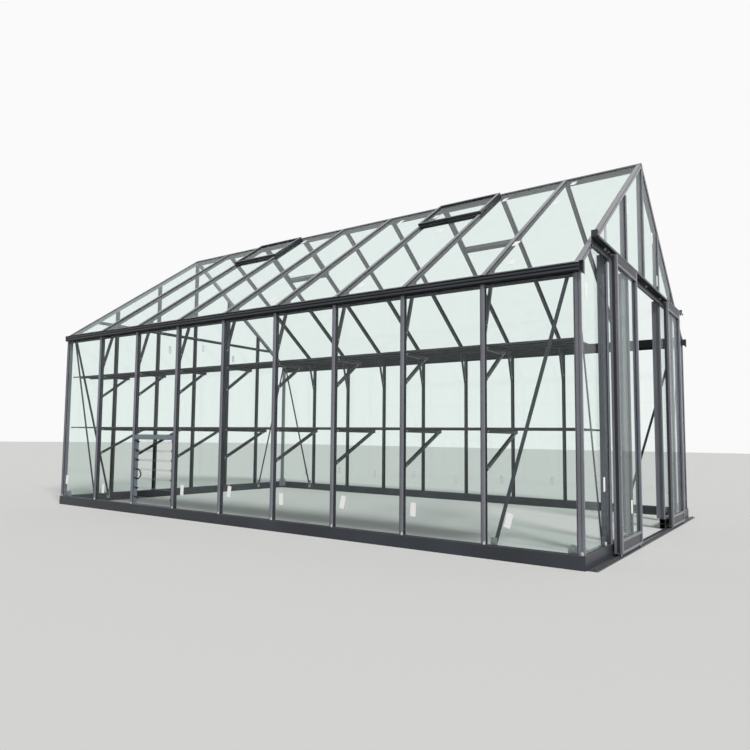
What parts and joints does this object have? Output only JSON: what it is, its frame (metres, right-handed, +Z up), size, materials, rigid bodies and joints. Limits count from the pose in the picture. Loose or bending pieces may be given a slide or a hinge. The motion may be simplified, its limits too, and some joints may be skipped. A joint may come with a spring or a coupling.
{
  "type": "glass greenhouse",
  "caption": "Free-standing gabled glass greenhouse with a dark metal frame, sliding double doors in one gable, shelves inside, roof vents and a louvre window.",
  "frame": {"origin": "Centre of the overall footprint, door gear included, on the ground under the base beams", "axes": "+X towards the gable with the doors, along the ridge; +Y towards the long wall without shelves; +Z up"},
  "size_m": [5.6972, 3.8092, 3.1677],
  "materials": {
    "black_powder_coat": "satin black powder coat on aluminium",
    "shelf_powder_coat": "satin black powder coat, lit from above",
    "clear_glass": "clear 4 mm glass with a faint green tint",
    "grey_blue_aluminium": "plain grey-blue aluminium",
    "galvanised_plate": "plain light grey plate",
    "black_plastic": "black moulded plastic"
  },
  "bodies": {
    "greenhouse": {"back_glass": "clear_glass", "back_posts": "black_powder_coat", "back_roof_bars": "black_powder_coat", "back_roof_glass": "clear_glass", "base_back": "black_powder_coat", "base_front": "black_powder_coat", "base_gables": "black_powder_coat", "base_plates": "galvanised_plate", "corner_braces": "black_powder_coat", "corner_posts": "black_powder_coat", "door_gable_glass": "clear_glass", "door_gable_posts": "black_powder_coat", "door_gable_transom": "black_powder_coat", "door_header": "black_powder_coat", "door_hood": "black_powder_coat", "door_track": "black_powder_coat", "far_gable_glass": "clear_glass", "far_gable_posts": "black_powder_coat", "far_gable_transom": "black_powder_coat", "front_glass": "clear_glass", "front_posts": "black_powder_coat", "front_roof_bars": "black_powder_coat", "front_roof_glass": "clear_glass", "gable_rafters": "black_powder_coat", "gutter_back": "black_powder_coat", "gutter_end_caps": "black_powder_coat", "gutter_front": "black_powder_coat", "knee_braces": "black_powder_coat", "louvre_blades": "clear_glass", "louvre_clips": "black_plastic", "louvre_frame": "grey_blue_aluminium", "lower_shelf_slats": "shelf_powder_coat", "ridge_beam": "black_powder_coat", "roof_vent_frames": "black_powder_coat", "roof_vent_glass": "clear_glass", "roof_vent_sills": "black_powder_coat", "shelf_arms": "black_powder_coat", "shelf_struts": "black_powder_coat", "upper_shelf_slats": "shelf_powder_coat"},
    "door_front": {"door_leaf_front": "black_powder_coat", "door_glass_front": "clear_glass", "door_runners_front": "black_plastic"},
    "door_back": {"door_leaf_back": "black_powder_coat", "door_glass_back": "clear_glass", "door_runners_back": "black_plastic"}
  },
  "joints": [
    {"name": "door_front_slide", "type": "slide", "parent": "greenhouse", "child": "door_front", "axis": [0, 1, 0], "range_m": [0, 0.62]},
    {"name": "door_back_slide", "type": "slide", "parent": "greenhouse", "child": "door_back", "axis": [0, -1, 0], "range_m": [0, 0.62]}
  ]
}
